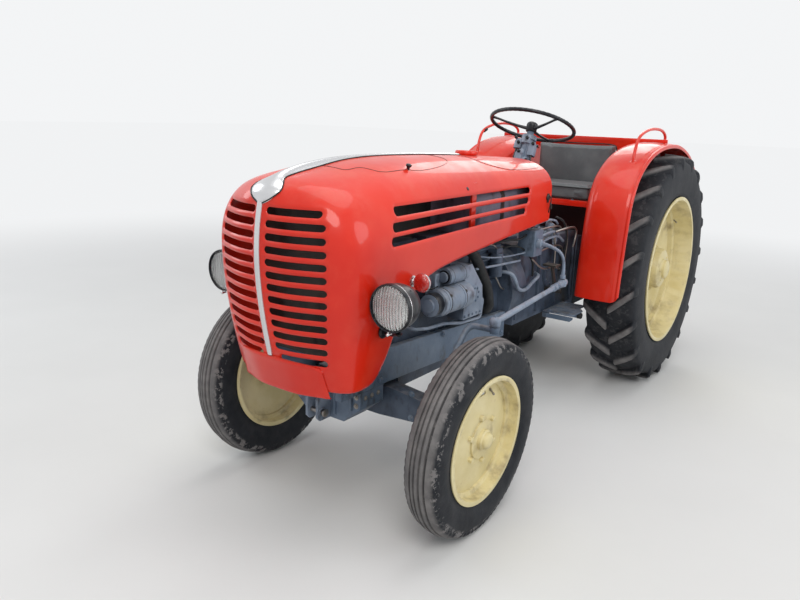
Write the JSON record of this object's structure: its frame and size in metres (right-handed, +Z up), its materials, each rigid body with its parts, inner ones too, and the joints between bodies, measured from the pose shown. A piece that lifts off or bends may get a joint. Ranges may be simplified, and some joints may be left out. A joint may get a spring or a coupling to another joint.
{
  "type": "farm tractor",
  "caption": "Vintage light farm tractor with a rounded slotted bonnet, crowned rear fenders, bench seat and a steered front axle with its rods.",
  "frame": {"origin": "on the ground, under the middle of the tractor's length and width", "axes": "-Y is the tractor's front, +X its own left side, +Z up"},
  "size_m": [1.3504, 3.812, 1.7287],
  "materials": {
    "red_paint": "gloss",
    "blue_grey_paint": "satin",
    "cream_paint": "satin",
    "tyre_rubber": "matt",
    "black_paint": "gloss",
    "hose_rubber": "matt",
    "black_plastic": "gloss",
    "bright_metal": "polished",
    "lamp_glass": "clear",
    "lamp_red": "gloss",
    "grey_tank": "satin",
    "seat_cover": "satin"
  },
  "bodies": {
    "chassis": {"bonnet": "red_paint", "apron": "red_paint", "filler_cap": "red_paint", "fender_left": "red_paint", "fender_right": "red_paint", "grab_rails": "red_paint", "back_bar": "red_paint", "seat_deck": "red_paint", "instrument_panel": "red_paint", "frame_rails": "blue_grey_paint", "front_support": "blue_grey_paint", "front_axle": "blue_grey_paint", "engine": "blue_grey_paint", "generator": "blue_grey_paint", "gearbox": "blue_grey_paint", "rear_axle": "blue_grey_paint", "footsteps": "blue_grey_paint", "steering_column": "blue_grey_paint", "drawbar": "blue_grey_paint", "headlights": "black_paint", "radiator": "black_paint", "exhaust": "black_paint", "pedals": "black_paint", "levers": "black_paint", "intake_hose": "hose_rubber", "grille_strip": "bright_metal", "headlight_lenses": "lamp_glass", "turn_lamps": "lamp_red", "fuel_tank": "grey_tank", "seat_cushion": "seat_cover", "seat_back": "seat_cover"},
    "steering_wheel": {"steering_wheel": "black_plastic"},
    "drop_arm": {"drop_arm": "blue_grey_paint"},
    "knuckle_left": {"knuckle_left": "blue_grey_paint"},
    "knuckle_right": {"knuckle_right": "blue_grey_paint"},
    "drag_link": {"drag_link": "blue_grey_paint"},
    "track_rod": {"track_rod": "blue_grey_paint"},
    "front_wheel_left": {"front_tyre_left": "tyre_rubber", "front_rim_left": "cream_paint"},
    "front_wheel_right": {"front_tyre_right": "tyre_rubber", "front_rim_right": "cream_paint"},
    "rear_wheel_left": {"rear_tyre_left": "tyre_rubber", "rear_rim_left": "cream_paint"},
    "rear_wheel_right": {"rear_tyre_right": "tyre_rubber", "rear_rim_right": "cream_paint"}
  },
  "joints": [
    {"name": "steer_left", "type": "hinge", "parent": "chassis", "child": "knuckle_left", "pos_m": [0.41, -1.283, 0.466], "axis": [0, 0, 1], "range_deg": [-30, 30]},
    {"name": "steer_right", "type": "hinge", "parent": "chassis", "child": "knuckle_right", "pos_m": [-0.41, -1.283, 0.466], "axis": [0, 0, 1], "range_deg": [-30, 30]},
    {"name": "track_rod_end", "type": "hinge", "parent": "knuckle_left", "child": "track_rod", "pos_m": [0.41, -1.118, 0.3575], "axis": [0, 0, 1], "range_deg": [-30, 30]},
    {"name": "drag_link_end", "type": "hinge", "parent": "knuckle_left", "child": "drag_link", "pos_m": [0.563, -1.123, 0.858], "axis": [0, 0, 1], "range_deg": [-36.5, 36.5]},
    {"name": "drop_arm_swing", "type": "hinge", "parent": "chassis", "child": "drop_arm", "pos_m": [0.275, -0.13, 1.021], "axis": [1, 0, 0], "range_deg": [-24, 24]},
    {"name": "steering_wheel_turn", "type": "hinge", "parent": "chassis", "child": "steering_wheel", "pos_m": [0, 0.23, 1.629], "axis": [0, 0.3649, 0.9311], "range_deg": [-420, 420]},
    {"name": "front_wheel_left_spin", "type": "hinge", "parent": "knuckle_left", "child": "front_wheel_left", "pos_m": [0.589, -1.283, 0.41575], "axis": [0.9994, 0, -0.0349], "continuous": true},
    {"name": "front_wheel_right_spin", "type": "hinge", "parent": "knuckle_right", "child": "front_wheel_right", "pos_m": [-0.589, -1.283, 0.41575], "axis": [0.9994, 0, 0.0349], "continuous": true},
    {"name": "rear_wheel_left_spin", "type": "hinge", "parent": "chassis", "child": "rear_wheel_left", "pos_m": [0.492, 1.106, 0.739], "axis": [1, 0, 0], "continuous": true},
    {"name": "rear_wheel_right_spin", "type": "hinge", "parent": "chassis", "child": "rear_wheel_right", "pos_m": [-0.492, 1.106, 0.739], "axis": [1, 0, 0], "continuous": true}
  ],
  "couplings": [
    {"joint": "steer_right", "follows": "steer_left", "ratio": 1},
    {"joint": "track_rod_end", "follows": "steer_left", "ratio": -1},
    {"joint": "drag_link_end", "follows": "steer_left", "ratio": -1.1611},
    {"joint": "drop_arm_swing", "follows": "steer_left", "ratio": 0.7887},
    {"joint": "steering_wheel_turn", "follows": "steer_left", "ratio": 14}
  ]
}
